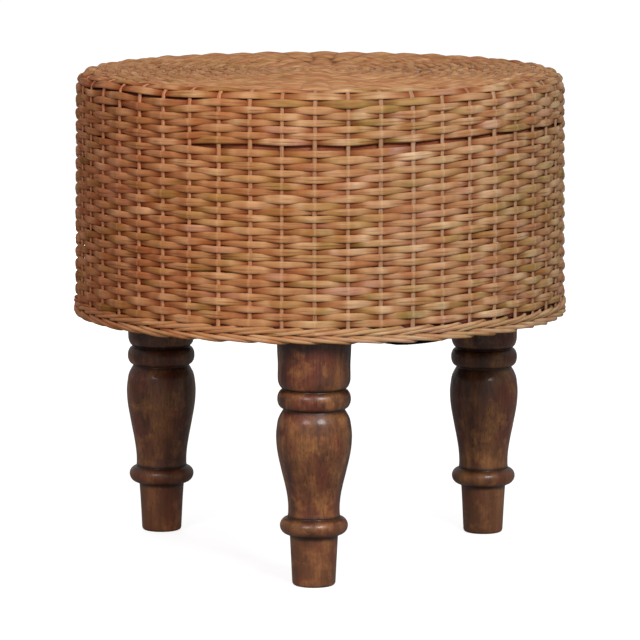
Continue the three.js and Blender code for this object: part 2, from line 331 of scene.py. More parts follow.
def opened(s, angle, gap):
    """How far a row is pushed off a loose gap: up above it and a little down below it."""
    ahead = from_front(angle)
    narrowed = 1 - GAP_NARROWS * eased_step(ahead / gap.end)
    size = gap.width * window(ahead, gap.start, gap.end, gap.fade) * narrowed
    last = skin_length - rim_radius * GAP_REACH
    if s >= gap.at:
        return GAP_UP * size * max(last - s, 0) / (last - gap.at)
    return (GAP_UP - 1) * size * (s / gap.at) ** GAP_POWER


def climbed(s, angle):
    """How far a row climbs on the right: most at the seam, and not at all at the border or past the rim."""
    at, last = SEAM.at, side_length + rim_length
    share = s / at if s < at else max(last - s, 0) / (last - at)
    ahead = from_front(angle)
    return CLIMB * share * eased_step(ahead / CLIMB_END) * eased_step((math.pi - ahead) / QUARTER)


def weave_row(strands, s, parity, stakes, drift):
    """One ring of cane at a length s up the skin; parity, 1 or -1, says which stakes it runs over."""
    spacing = TURN * float(skin(s)[0]) / stakes
    count = stakes * max(LEAST_STEPS, min(MOST_STEPS, round(spacing / STEP_LENGTH)))
    start = 2 * rng.integers(stakes // 2) + (1 if parity > 0 else 0)
    turn = np.arange(count) / count + start / stakes
    angle = FIRST_STAKE + TURN * turn
    swing = parity * np.cos(math.pi * stakes * turn)
    over = np.arcsin(SHARPNESS * swing) / math.asin(SHARPNESS)

    place = s + drift(turn) + ripple(turn, ROW_WAVES, ROW_WANDER) + by_stake(turn, stakes, ROW_WANDER)
    for gap in GAPS:
        place = place + opened(s, angle, gap)
    place = place + climbed(s, angle)
    radius, height, normal_r, normal_z = skin(place)
    depth = relief(place, angle)
    lift = CROWN - depth + depth * over * (1 + by_stake(turn, stakes, SWING_SPREAD))

    thick = 1 + by_stake(turn, stakes, HEIGHT_SPREAD) + rng.normal(0, ROW_SPREAD)
    rim = 1 + 2 * RIM_SWELL * normal_r * normal_z
    loose = looseness(place, angle)
    # Painted shade: deeper in the hollows at the loose back of the top, and a painted shadow over some
    # strands
    shade = loose * np.clip(by_stake(turn, 2 * stakes, LOOSE_PAINTED_SHADOW), 0, LOOSE_PAINTED_SHADOW_MOST)
    shown = ((over + 1) / 2) ** (1 + LOOSE_HOLLOW_SHADE * loose) * (1 - shade)
    strands.tube(
        in_space(angle, radius + lift * normal_r, height + lift * normal_z),
        across=in_space(angle, -normal_z, normal_r),
        out=in_space(angle, normal_r, normal_z),
        high=STRAND_HIGH * np.maximum(thick, THINNEST) * (1 + SWELL * over) * rim,
        deep=STRAND_DEEP,
        # past the side's top no highlight is painted over the stakes
        depth=shown * np.where(place > side_length, NO_CREST_HIGHLIGHT, 1.0),
        groove=np.clip(ripple(turn, GROOVE_WAVES, GROOVE_SPREAD), 0, GROOVE_DEEPEST),
        back=OVER_BACK * np.maximum(over, 0),
    )


def woven_pieces(side_cane, top_cane):
    """Rows of cane up the side, over the rim and in to the middle of the top, as pieces by name."""
    parts = {name: Strands() for name in ("side_weave_low", "side_weave_high", "rim_weave", "top_weave")}
    drift = shared_drift(SHARED_WANDER, SHARED_WAVES)
    parity = 1
    s = PLAIT_HEIGHT + ROW_PITCH / 2
    while s < skin_length - TOP_EYE:
        stakes = STAKES
        if s < side_length / 2:
            name = "side_weave_low"
        elif s < side_length:
            name = "side_weave_high"
        elif s < side_length + rim_length:
            name = "rim_weave"
        else:
            name = "top_weave"
            stakes = STAKES // 2 ** sum(skin(s)[0] <= end for end in STAKE_ENDS)
        weave_row(parts[name], s, parity, stakes, drift)
        parity = -parity
        s += ROW_PITCH
    woven = {}
    for name, strands in parts.items():
        cane = top_cane if name == "top_weave" else side_cane
        woven[name] = strands.piece(name, cane, "weave_cane")
    return woven


# Stakes: the upright canes

# Half a stake's width and depth, where it starts on the skin, and the distance between its points
STAKE_WIDE = 2.0 * MM
STAKE_DEEP = 1.2 * MM
STAKE_FOOT = 4 * MM
STAKE_STEP = 5 * MM

# How far stakes sway to a side, and how much their size varies
STAKE_SWAY = 0.4 * MM
STAKE_SPREAD = 0.06

# A stake that ends at one of the radii above is tucked in by STAKE_TUCK; the others end at MIDDLE_END
STAKE_TUCK = 2 * MM
MIDDLE_END = 0.7 * TOP_EYE


def stakes_piece(material):
    """All the stakes: they run over the rim, and end in turn towards the middle of the top."""
    made = Strands()
    for k in range(STAKES):
        if k % 4 == 0:
            end_radius = MIDDLE_END
        else:
            end_radius = STAKE_ENDS[0 if k % 2 else 1] - STAKE_TUCK
        s = np.arange(STAKE_FOOT, skin_length - end_radius, STAKE_STEP)
        radius, height, normal_r, normal_z = skin(s)
        sway = rng.normal(0, STAKE_SWAY) * np.sin(math.pi * np.clip(s / side_length, 0, 1))
        angle = FIRST_STAKE + TURN * k / STAKES + sway / middle_radius
        inset = CROWN - relief(s, angle)
        size = 1 + rng.normal(0, STAKE_SPREAD)
        made.tube(
            in_space(angle, radius + inset * normal_r, height + inset * normal_z),
            across=np.stack([-np.sin(angle), np.cos(angle), np.zeros(len(s))], -1),
            out=in_space(angle, normal_r, normal_z),
            high=STAKE_WIDE * size,
            deep=STAKE_DEEP * size,
            depth=1.0,
            closed=False,
        )
    return made.piece("stakes", material, "weave_cane")


# Inner canes: rings that close the weave from inside where it is open

INNER_POINTS = 4 * STAKES
INNER_TURN = np.arange(INNER_POINTS) / INNER_POINTS
INNER_ANGLE = FIRST_STAKE + TURN * INNER_TURN

# How far a ring wanders up and down, and what its depth says to the material
INNER_WAVES = 9
INNER_WANDER = 0.2 * MM
INNER_SHOWN = 0.5

# Half the height of every ring, half the depth of a flat one, and how far a ring behind the stakes
# lies off the skin
INNER_HIGH = 1.9 * MM
INNER_DEEP = 0.8 * MM
INNER_LIFT = -3.6 * MM

# Three rings close a gap in the side, this far above its start
GAP_RISES = (-2.2 * MM, 1.0 * MM, 4.2 * MM)

# Rings in and behind the border, and behind the rim: length up the skin, lift off it, and half depth
BORDER_LINING = (
    (2.6 * MM, -4.2 * MM, INNER_HIGH),
    (5.0 * MM, 0.2 * MM, INNER_HIGH),
    (9.2 * MM, 0.2 * MM, INNER_HIGH),
    (11.0 * MM, INNER_LIFT, INNER_DEEP),
    (14.4 * MM, -1.0 * MM, INNER_DEEP),
    (17.8 * MM, INNER_LIFT, INNER_DEEP),
)
RIM_LINING_LIFT = -2.3 * MM
RIM_LINING = tuple(
    (side_length + RIM_BEND * math.radians(bend), RIM_LINING_LIFT, INNER_DEEP)
    for bend in (-12, 8, 28, 48, 68, 88)
)


def gap_rings():
    """The rings behind the two gaps in the side, which climb on the right as the rows do."""
    return [
        (gap.at + rise + climbed(gap.at, INNER_ANGLE), INNER_LIFT, INNER_DEEP)
        for gap in (SEAM, SLACK)
        for rise in GAP_RISES
    ]


def inner_canes_piece(name, rings, material):
    """Rings given as length up the skin, lift off it, and half depth."""
    made = Strands()
    for s, lift, deep in rings:
        radius, height, normal_r, normal_z = skin(s + ripple(INNER_TURN, INNER_WAVES, INNER_WANDER))
        made.tube(
            in_space(INNER_ANGLE, radius + lift * normal_r, height + lift * normal_z),
            across=in_space(INNER_ANGLE, -normal_z, normal_r),
            out=in_space(INNER_ANGLE, normal_r, normal_z),
            high=INNER_HIGH,
            deep=deep,
            depth=INNER_SHOWN,
        )
    return made.piece(name, material, "weave_cane")


# The eye: rings of cane that close the middle of the top

# Radii of the rings, half a ring's height and depth, how far it lies below the crowns of the weave,
# and what its depth says to the material
EYE_RINGS = (8.2 * MM, 5.2 * MM, 2.2 * MM)
EYE_POINTS = 24
EYE_HIGH = 1.7 * MM
EYE_DEEP = 1.6 * MM
EYE_SUNK = 0.4 * MM
EYE_SHOWN = 0.9


def top_eye_piece(material):
    """All the rings of the eye."""
    made = Strands()
    angle = TURN * np.arange(EYE_POINTS) / EYE_POINTS
    none, one = np.zeros(EYE_POINTS), np.ones(EYE_POINTS)
    for ring_radius in EYE_RINGS:
        height = skin(skin_length - ring_radius)[1]
        made.tube(
            in_space(angle, ring_radius * one, height + CROWN - EYE_SUNK),
            across=in_space(angle, -one, none),
            out=in_space(angle, none, one),
            high=EYE_HIGH,
            deep=EYE_DEEP,
            depth=EYE_SHOWN,
        )
    return made.piece("top_eye", material, "weave_cane")


# Plaited border: two rows, each of three strands that run over two stakes and behind the third

# Strands in a row, half a strand's height and depth, and its points for each stake
PLAIT_STRANDS = 3
PLAIT_HIGH = 1.95 * MM
PLAIT_DEEP = 1.9 * MM
PLAIT_STEPS = 10

# Each row's height above the border's foot, which way it leans, and by how much of a stake's spacing
# its strands are shifted
PLAIT_ROWS = ((4.0 * MM, -1, 0.5), (10.6 * MM, 1, 0))

# Over two stakes a strand runs from PLAIT_RISE below its row's height to PLAIT_RISE above it, or the
# other way, and comes forward by PLAIT_FORWARD. The ends of its run, a share PLAIT_TURN of each half,
# bring it back to the row's height
PLAIT_RISE = 2.7 * MM
PLAIT_FORWARD = 0.8 * MM
PLAIT_TURN = 0.3

# Behind the third stake it lies at PLAIT_IN off the skin, and its colour gets painted shade by the share
# below. It dives there within PLAIT_DIVE of a stake's spacing
PLAIT_IN = -3.6 * MM
PLAIT_PAINTED_SHADE = 0.75
PLAIT_DIVE = 0.45

# Random spread: how far a strand wanders up and down, and how much its height varies
PLAIT_WAVES = 30
PLAIT_WANDER = 0.25 * MM
PLAIT_HEIGHT_WAVES = 40
PLAIT_HEIGHT_SPREAD = 0.1


def plait_strand(strands, height, lean, shift):
    """One strand of a border row; from the front it rises to the right with lean 1 and falls with -1."""
    count = STAKES * PLAIT_STEPS
    turn = np.arange(count) / count
    angle = FIRST_STAKE + TURN * turn
    place = (turn * STAKES + shift) % PLAIT_STRANDS
    behind = np.exp(-((np.minimum(place, PLAIT_STRANDS - place) / PLAIT_DIVE) ** 2))
    half = PLAIT_STRANDS / 2
    run = (place - half) / half
    straight = 1 - PLAIT_TURN
    leaning = run * (1 - np.clip((np.abs(run) - straight) / PLAIT_TURN, 0, 1))
    front = border_radius - middle_radius - PLAIT_DEEP - PLAIT_FORWARD * (1 - run) / 2
    offset = front + (PLAIT_IN - front) * behind
    rise = lean * PLAIT_RISE * leaning / straight
    z = border_foot + height + rise + ripple(turn, PLAIT_WAVES, PLAIT_WANDER)
    none, one = np.zeros(count), np.ones(count)
    strands.tube(
        in_space(angle, middle_radius + offset, z),
        across=in_space(angle, none, one),
        out=in_space(angle, one, none),
        high=PLAIT_HIGH * (1 + ripple(turn, PLAIT_HEIGHT_WAVES, PLAIT_HEIGHT_SPREAD)),
        deep=PLAIT_DEEP,
        depth=1 - PLAIT_PAINTED_SHADE * behind,
    )


def plait_piece(material):
    """Both rows of the plait, each of PLAIT_STRANDS strands that are one stake apart."""
    made = Strands()
    for height, lean, shift in PLAIT_ROWS:
        for k in range(PLAIT_STRANDS):
            plait_strand(made, height, lean, k + shift)
    return made.piece("border_plait", material, "border_cane")


# Faces and places that the turned legs and the dust cloth share


def ring_quads(rings, count, first=0):
    """The faces between rings of count points each, the first of which starts at point number first."""
    quads = []
    for ring in range(rings - 1):
        low = first + ring * count
        high = low + count
        for j in range(count):
            k = (j + 1) % count
            quads.append((low + j, low + k, high + k, high + j))
    return quads


def middle_of(node):
    """Where a node stands, as x and y."""
    low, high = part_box(node)
    return (low[0] + high[0]) / 2, (low[1] + high[1]) / 2


leg_middles = {node: middle_of(node) for node in LEG_NODES}


# Dust cloth under the drum: its edge is turned in over itself and stapled up

cloth_low, cloth_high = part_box("under_cloth")
CLOTH_RADIUS = cloth_high[0]
CLOTH_LAYER = 0.3 * MM
CLOTH_FOLD = 0.8 * CLOTH_LAYER
CLOTH_HEM = 12 * MM
CLOTH_SEGMENTS = 144
CLOTH_RINGS = 24

# The cloth sags in the middle, droops at the edge between its staples, and is creased towards the
# edge. Round a leg it is held up: wholly within the first length, and less over the second. Where a
# hanger bolt runs through it, it has a hole
CLOTH_SAG = 2.4 * MM
CLOTH_DROOP = 0.7 * MM
CLOTH_STAPLES = 18
CLOTH_CREASE = 0.5 * MM
CREASE_WAVES = 40
LEG_HOLD = (34 * MM, 45 * MM)
CLOTH_HOLE = 6 * MM

# How fast droop, creases and the loose stretch die out towards the middle, as powers of the radius
DROOP_POWER = 8
CREASE_POWER = 3
LOOSE_POWER = 10

# One stretch of the edge is loose: how far it hangs, and between which angles from the front
LOOSE_FALL = 4.3 * MM
LOOSE_START = math.radians(12)
LOOSE_END = math.radians(38)
LOOSE_FADE = math.radians(10)


def cloth_height(x, y, creases):
    """Height of the cloth's lower layer."""
    radius, angle = np.hypot(x, y), np.arctan2(y, x)
    share = radius / CLOTH_RADIUS
    free = np.ones(radius.shape)
    for leg_x, leg_y in leg_middles.values():
        free = free * eased_step((np.hypot(x - leg_x, y - leg_y) - LEG_HOLD[0]) / LEG_HOLD[1])
    sag = CLOTH_SAG * (1 - share**2)
    droop = CLOTH_DROOP * share**DROOP_POWER * (1 - np.cos(CLOTH_STAPLES * angle)) / 2
    crease = creases * share**CREASE_POWER
    loose = LOOSE_FALL * share**LOOSE_POWER * window(from_front(angle), LOOSE_START, LOOSE_END, LOOSE_FADE)
    return cloth_low[2] + CLOTH_LAYER / 2 - free * (sag + droop + crease) - loose


def dust_cloth_piece(material):
    """The cloth and its hem, in rings that each have a radius and a rise over the lower layer."""
    turn = np.arange(CLOTH_SEGMENTS) / CLOTH_SEGMENTS
    angle = TURN * turn
    creases = np.abs(ripple(turn, CREASE_WAVES, CLOTH_CREASE))
    rings = [(radius, 0.0) for radius in CLOTH_RADIUS * (np.arange(1, CLOTH_RINGS + 1) / CLOTH_RINGS)]
    rings.append((CLOTH_RADIUS + CLOTH_FOLD, CLOTH_FOLD))
    for inward in (0, CLOTH_HEM / 2, CLOTH_HEM):
        rings.append((CLOTH_RADIUS - inward, 2 * CLOTH_FOLD))
    middle = np.zeros(1)
    points = [np.stack([middle, middle, cloth_height(middle, middle, 0)], -1)]
    for radius, rise in rings:
        x, y = radius * np.cos(angle), radius * np.sin(angle)
        points.append(np.stack([x, y, cloth_height(x, y, creases) + rise], -1))
    points = np.concatenate(points)
    faces = [(0, 1 + (j + 1) % CLOTH_SEGMENTS, 1 + j) for j in range(CLOTH_SEGMENTS)]
    faces += ring_quads(len(rings), CLOTH_SEGMENTS, first=1)
    whole = []
    for face in faces:
        centre = points[list(face)].mean(0)[:2]
        if min(math.dist(centre, bolt) for bolt in leg_middles.values()) > CLOTH_HOLE:
            whole.append(face)
    mesh = bpy.data.meshes.new("dust_cloth")
    mesh.from_pydata(points, [], whole)
    piece = placed("dust_cloth", mesh, material)
    solid = piece.modifiers.new("thickness", "SOLIDIFY")
    solid.thickness = CLOTH_LAYER
    solid.offset = 0.0
    return piece


# Turned legs

LEG_SEGMENTS = 64
EDGE_STEPS = 6
FOOT_STEPS = 12
BEAD_STEPS = 12
CURVE_STEPS = 3

# Outline of a leg in millimetres, as (height above the floor, radius): the foot's rounded edge and its
# top, the curve of the belly between the beads, and the cap. A bead has its height, half its own
# height, its radius and the radius that it stands on
FOOT_EDGE = (3.0, 19.4)
FOOT_TOP = (45.8, 21.5)
LOW_BEAD = (53.8, 7.8, 30.3, 22.6)
BELLY = (
    (62.3, 23.3),
    (66, 22.9),
    (72, 22.9),
    (78, 23.4),
    (84, 24.3),
    (92, 26.0),
    (100, 28.0),
    (108, 29.9),
    (116, 31.7),
    (124, 33.0),
    (132, 33.6),
    (138, 33.5),
    (144, 32.8),
    (149, 31.9),
    (153, 30.2),
    (156.4, 28.2),
    (157.8, 27.3),
)
HIGH_BEAD = (167.5, 8.4, 32.7, 27.5)
CAP = (
    (176.6, 28.0),
    (178, 29.7),
    (180, 31.0),
    (183, 32.0),
    (187, 32.4),
    (198, 32.3),
    (210, 32.9),
    (223.8, 33.4),
)
LEG_HEIGHT = CAP[-1][0]

# Stain pools in the grooves, over GROOVE_REACH, and the cap gets painted shade under the drum, over
# CAP_REACH
GROOVES = (46.0, 62.0, 158.4, 176.6)
GROOVE_REACH = 2.2
CAP_PAINTED_SHADE = 0.8
CAP_REACH = 9.0

# Each leg is turned by hand: how full it is, and how full its neck is, which has a height and a reach.
# Legs are out of round by OUT_OF_ROUND, and that turns by half a radian over TWIST_LENGTH
GIRTHS = {"leg_1": (1.0, 1.0), "leg_2": (0.955, 1.005), "leg_3": (0.965, 1.035)}
NECK = (76.0, 28.0)
OUT_OF_ROUND = 0.004
TWIST_LENGTH = 40
WELD_DISTANCE = 1e-6


def bump(away, reach):
    """1 at no distance, dying out over reach."""
    return math.exp(-((away / reach) ** 2))


def bead(height, half, radius, root):
    """Half-round ring of a leg, from below to above."""
    return [
        (height + half * math.sin(a), root + (radius - root) * math.cos(a))
        for a in np.linspace(-QUARTER, QUARTER, BEAD_STEPS)
    ]


def eased(points):
    """A smooth curve through the points, with CURVE_STEPS steps from each to the next."""
    last = len(points) - 1
    made = []
    for i in range(last):
        before, start, end, after = (np.array(points[min(max(i + k, 0), last)]) for k in (-1, 0, 1, 2))
        slope = (end - before) / 2
        bend = before - 2.5 * start + 2 * end - after / 2
        twist = 1.5 * (start - end) + (after - before) / 2
        for t in np.arange(CURVE_STEPS) / CURVE_STEPS:
            made.append(start + slope * t + bend * t**2 + twist * t**3)
    return [*made, points[-1]]


def leg_outline():
    """A leg's outline from the middle of its foot up to the drum."""
    edge_height, foot_radius = FOOT_EDGE
    edge = [
        (edge_height * (1 - math.cos(a)), foot_radius - edge_height * (1 - math.sin(a)))
        for a in np.linspace(0, QUARTER, EDGE_STEPS)
    ]
    foot = np.linspace(FOOT_EDGE, FOOT_TOP, FOOT_STEPS)[1:]
    return [(0, 0), *edge, *foot, *bead(*LOW_BEAD), *eased(BELLY), *bead(*HIGH_BEAD), *eased(CAP)]


def leg_piece(node, material):
    """The leg in a node's place; a point attribute tells its material how dark it is at each point, from
    staining in the grooves and from painted shade at the cap under the drum.
    """
    low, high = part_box(node)
    tall = (high[2] - low[2]) / LEG_HEIGHT
    around = TURN * np.arange(LEG_SEGMENTS) / LEG_SEGMENTS
    phase = rng.uniform(0, TURN)
    full, neck = GIRTHS[node]
    x, y = leg_middles[node]
    outline = leg_outline()
    points, stain_and_cap_shade = [], []
    for height, radius in outline:
        girth = full + (neck - full) * bump(height - NECK[0], NECK[1])
        round_off = 1 + OUT_OF_ROUND * np.sin(2 * around + phase + height / TWIST_LENGTH)
        middle = np.array([x, y, height * tall])
        points.append(middle + in_space(around, radius * MM * girth * round_off, 0))
        pooled = max(bump(height - groove, GROOVE_REACH) for groove in GROOVES)
        # painted shade at the cap, under the drum
        shade = CAP_PAINTED_SHADE * bump(LEG_HEIGHT - height, CAP_REACH)
        stain_and_cap_shade += [max(pooled, shade)] * LEG_SEGMENTS
    faces = ring_quads(len(outline), LEG_SEGMENTS)
    faces.append(tuple(range(len(stain_and_cap_shade) - LEG_SEGMENTS, len(stain_and_cap_shade))))
    name = "turned_" + node
    mesh = bpy.data.meshes.new(name)
    mesh.from_pydata(np.concatenate(points), [], faces)
    mesh.attributes.new("stain_and_cap_shade", "FLOAT", "POINT").data.foreach_set("value", stain_and_cap_shade)
    weld(mesh)
    return placed(name, mesh, material)


def weld(mesh):
    """Joins points that lie together, as in the middle of a foot."""
    work = bmesh.new()
    work.from_mesh(mesh)
    bmesh.ops.remove_doubles(work, verts=work.verts, dist=WELD_DISTANCE)
    bmesh.ops.recalc_face_normals(work, faces=work.faces)
    work.to_mesh(mesh)
    work.free()


# Shader nodes


def surface(name):
    """A new material with a principled shader: (material, tree, shader)."""
    material = bpy.data.materials.new(name)
    material.use_nodes = True
    return material, material.node_tree, material.node_tree.nodes["Principled BSDF"]


def wire(tree, value, socket):
    """Links a socket's value in, or sets it where it is a plain number or colour."""
    if isinstance(value, bpy.types.NodeSocket):
        tree.links.new(value, socket)
    else:
        socket.default_value = value


def add(tree, kind, inputs=None, **settings):
    """A new node, with its inputs by name or number and its settings."""
    made = tree.nodes.new(kind)
    for name, value in settings.items():
        setattr(made, name, value)
    for name, value in (inputs or {}).items():
        wire(tree, value, made.inputs[name])
    return made


def mixed(tree, factor, first, second, blend="MIX"):
    """Two colours mixed; 0, 6 and 7 are the mix node's sockets for colours, and 2 its output."""
    made = add(tree, "ShaderNodeMix", data_type="RGBA", blend_type=blend)
    for place, value in ((0, factor), (6, first), (7, second)):
        wire(tree, value, made.inputs[place])
    return made.outputs[2]


def shaded(tree, color, shade):
    """A colour multiplied by another."""
    return mixed(tree, 1.0, color, shade, "MULTIPLY")


def ramp(tree, factor, *stops):
    """A colour that runs through stops of (position, colour)."""
    made = add(tree, "ShaderNodeValToRGB", {"Fac": factor})
    elements = made.color_ramp.elements
    while len(elements) < len(stops):
        elements.new(0.5)
    for element, (position, color) in zip(elements, stops):
        element.position = position
        element.color = color
    return made.outputs["Color"]


def rgb(red, green, blue):
    """A colour given as 0 to 255, as the shader wants it."""
    scaled = (c / 255 for c in (red, green, blue))
    return (*(c / 12.92 if c <= 0.04045 else ((c + 0.055) / 1.055) ** 2.4 for c in scaled), 1.0)


def grey(value):
    """A grey as the shader wants it, from 0 to 1."""
    return (value, value, value, 1.0)


def greys(tree, factor, start, end):
    """A grey that runs from one (position, value) to another."""
    return ramp(tree, factor, (start[0], grey(start[1])), (end[0], grey(end[1])))


def noise(tree, vector, stretch, detail=2.0, roughness=0.5):
    """Noise from about 0.3 to 0.7; stretch is how often it changes along each axis."""
    place = add(tree, "ShaderNodeMapping", {"Vector": vector, "Scale": stretch}).outputs["Vector"]
    inputs = {"Vector": place, "Scale": 1.0, "Detail": detail, "Roughness": roughness}
    return add(tree, "ShaderNodeTexNoise", inputs).outputs["Fac"]


def read(tree, name, output):
    """What a mesh says at each point under a name."""
    return add(tree, "ShaderNodeAttribute", attribute_name=name).outputs[output]


def here(tree):
    """The place on the object, in metres."""
    return add(tree, "ShaderNodeTexCoord").outputs["Object"]


def along_axis(tree, vector, axis):
    """One part of a vector: its X, Y or Z."""
    return add(tree, "ShaderNodeSeparateXYZ", {"Vector": vector}).outputs[axis]


def mapped(tree, value, start, end, first=0.0, last=1.0):
    """A number that runs from first to last as value runs from start to end."""
    inputs = {"Value": value, "From Min": start, "From Max": end, "To Min": first, "To Max": last}
    return add(tree, "ShaderNodeMapRange", inputs).outputs["Result"]


def bumped(tree, shader, height, strength, distance):
    """Bumps on the surface, at most distance high."""
    made = add(tree, "ShaderNodeBump", {"Height": height, "Strength": strength, "Distance": distance})
    wire(tree, made.outputs["Normal"], shader.inputs["Normal"])


# Materials

# How often each noise of the cane changes along a strand, round it and from strand to strand
CANE_TINT = (16, 0.2, 1)
CANE_ORANGE = (30, 0.4, 3.1)
CANE_PALE = (34, 0.5, 5.7)
CANE_FIBRE = (45, 11, 7)
CANE_LINE = (22, 0.0, 9.3)

# The painted shade line along the groove in a strand's outer face: where it lies and half its width, as
# shares of the way round
OUTER_FACE = 0.25
LINE_HALF = 0.035

# How often each noise of the legs changes along X, Y and Z
LEG_FIGURE = (48, 48, 12)
LEG_RED = (30, 30, 24)
LEG_GOLD = (60, 60, 60)
LEG_GRAIN = (420, 420, 40)
LEG_PORES = (1100, 1100, 150)

# The same for the parts that keep their shape, and for the dust cloth
POLE_GRAIN = (90, 90, 20)
BOARD_GRAIN = (14, 160, 160)
STEEL_SPOTS = (400, 400, 400)
CLOTH_FIBRES = (900, 900, 900)
CLOTH_BONDS = 500.0


def groove_painted_shade(tree, lay):
    """Painted shade along the groove in a strand's outer face: 1 along its middle, here and there, 0 beside
    it.
    """
    around = along_axis(tree, lay, "Y")
    off = add(tree, "ShaderNodeMath", {0: around, 1: OUTER_FACE}, operation="SUBTRACT").outputs[0]
    off = add(tree, "ShaderNodeMath", {0: off}, operation="ABSOLUTE").outputs[0]
    line = greys(tree, off, (0.0, 1.0), (LINE_HALF, 0))
    return shaded(tree, line, greys(tree, noise(tree, lay, CANE_LINE), (0.52, 0), (0.62, 0.7)))


def cane_material(name, tints, orange, pale, hollow_painted_shade, painted_shade_across=None):
    """Peeled cane with fibres along it; its tints drift along each strand, with orange and pale patches.

    Behind a stake it is multiplied by the inside colour, painted shade in the hollow, and over one it
    takes a painted pale highlight. The last argument multiplies the whole stool's colour from its left to
    its right: painted shade."""
    material, tree, shader = surface(name)
    lay = read(tree, "lay", "Vector")
    depth = read(tree, "depth", "Fac")
    color = ramp(tree, noise(tree, lay, CANE_TINT), *tints)
    patch = greys(tree, noise(tree, lay, CANE_ORANGE), (0.48, 0), (0.74, 0.8))
    color = mixed(tree, patch, color, orange)
    light = greys(tree, noise(tree, lay, CANE_PALE), (0.5, 0), (0.78, 0.75))
    color = mixed(tree, light, color, pale)
    fibre = noise(tree, lay, CANE_FIBRE, detail=4.0, roughness=0.6)
    color = shaded(tree, color, greys(tree, fibre, (0.3, 0.7), (0.58, 1.0)))
    # Painted shade where a strand dives behind a stake
    hollow_shade = ramp(tree, depth, (0.0, hollow_painted_shade), (0.3, rgb(235, 225, 215)), (0.55, grey(1.0)))
    color = shaded(tree, color, hollow_shade)
    # Painted highlight: pale on the crest over a stake
    color = mixed(tree, greys(tree, depth, (CREST_HIGHLIGHT, 0), (1.0, 0.22)), color, pale)
    # Painted shade: the colour is multiplied from the stool's left to its right
    if painted_shade_across:
        across = mapped(tree, along_axis(tree, here(tree), "X"), -drum_radius, drum_radius)
        color = shaded(tree, color, ramp(tree, across, *painted_shade_across))
    # Painted shade along the groove in the outer face
    color = mixed(tree, groove_painted_shade(tree, lay), color, rgb(96, 52, 28))
    wire(tree, color, shader.inputs["Base Color"])
    wire(tree, greys(tree, fibre, (0.3, 0.66), (0.7, 0.48)), shader.inputs["Roughness"])
    shader.inputs["Specular IOR Level"].default_value = 0.08
    bumped(tree, shader, fibre, strength=0.3, distance=0.4 * MM)
    return material


def side_cane_material():
    return cane_material(
        "cane",
        tints=(
            (0.3, rgb(138, 110, 58)),
            (0.4, rgb(169, 131, 82)),
            (0.5, rgb(183, 141, 102)),
            (0.6, rgb(169, 119, 80)),
            (0.7, rgb(185, 141, 118)),
        ),
        orange=rgb(156, 94, 53),
        pale=rgb(222, 192, 154),
        # painted shade in the hollows
        hollow_painted_shade=rgb(202, 150, 130),
        # painted shade: darker and redder towards the left
        painted_shade_across=(
            (0.08, rgb(249, 218, 201)),
            (0.32, rgb(255, 236, 215)),
            (0.52, rgb(255, 248, 238)),
            (0.66, grey(1.0)),
        ),
    )


def top_cane_material():
    return cane_material(
        "cane_top",
        tints=(
            (0.3, rgb(152, 108, 60)),
            (0.4, rgb(178, 130, 80)),
            (0.5, rgb(188, 138, 94)),
            (0.6, rgb(168, 112, 72)),
            (0.7, rgb(190, 140, 102)),
        ),
        orange=rgb(150, 88, 50),
        pale=rgb(214, 172, 124),
        # a deep painted shade in the hollows
        hollow_painted_shade=rgb(92, 50, 34),
    )


def stake_cane_material():
    return cane_material(
        "cane_stakes",
        tints=((0.3, rgb(166, 122, 88)), (0.7, rgb(192, 152, 118))),
        orange=rgb(174, 124, 96),
        pale=rgb(204, 168, 134),
        hollow_painted_shade=grey(1.0),
        # painted shade: warmer at the left, darker from the middle to the right
        painted_shade_across=(
            (0.08, rgb(255, 224, 206)),
            (0.32, rgb(252, 232, 212)),
            (0.52, rgb(222, 214, 206)),
            (0.66, rgb(228, 228, 228)),
        ),
    )


def gap_cane_material():
    # Reddish cane behind the gaps, darkened as painted shade of the gap
    return cane_material(
        "cane_gap",
        tints=((0.3, rgb(144, 76, 52)), (0.7, rgb(176, 104, 72))),
        orange=rgb(154, 78, 54),
        pale=rgb(180, 114, 84),
        hollow_painted_shade=grey(1.0),
    )


def lining_cane_material():
    # Dark cane in and behind the border and behind the rim: its darkness is painted shade of the gaps
    return cane_material(
        "cane_dark_painted_shade",
        tints=((0.3, rgb(92, 46, 44)), (0.7, rgb(120, 66, 54))),
        orange=rgb(104, 48, 40),
        pale=rgb(124, 74, 62),
        hollow_painted_shade=grey(1.0),
    )


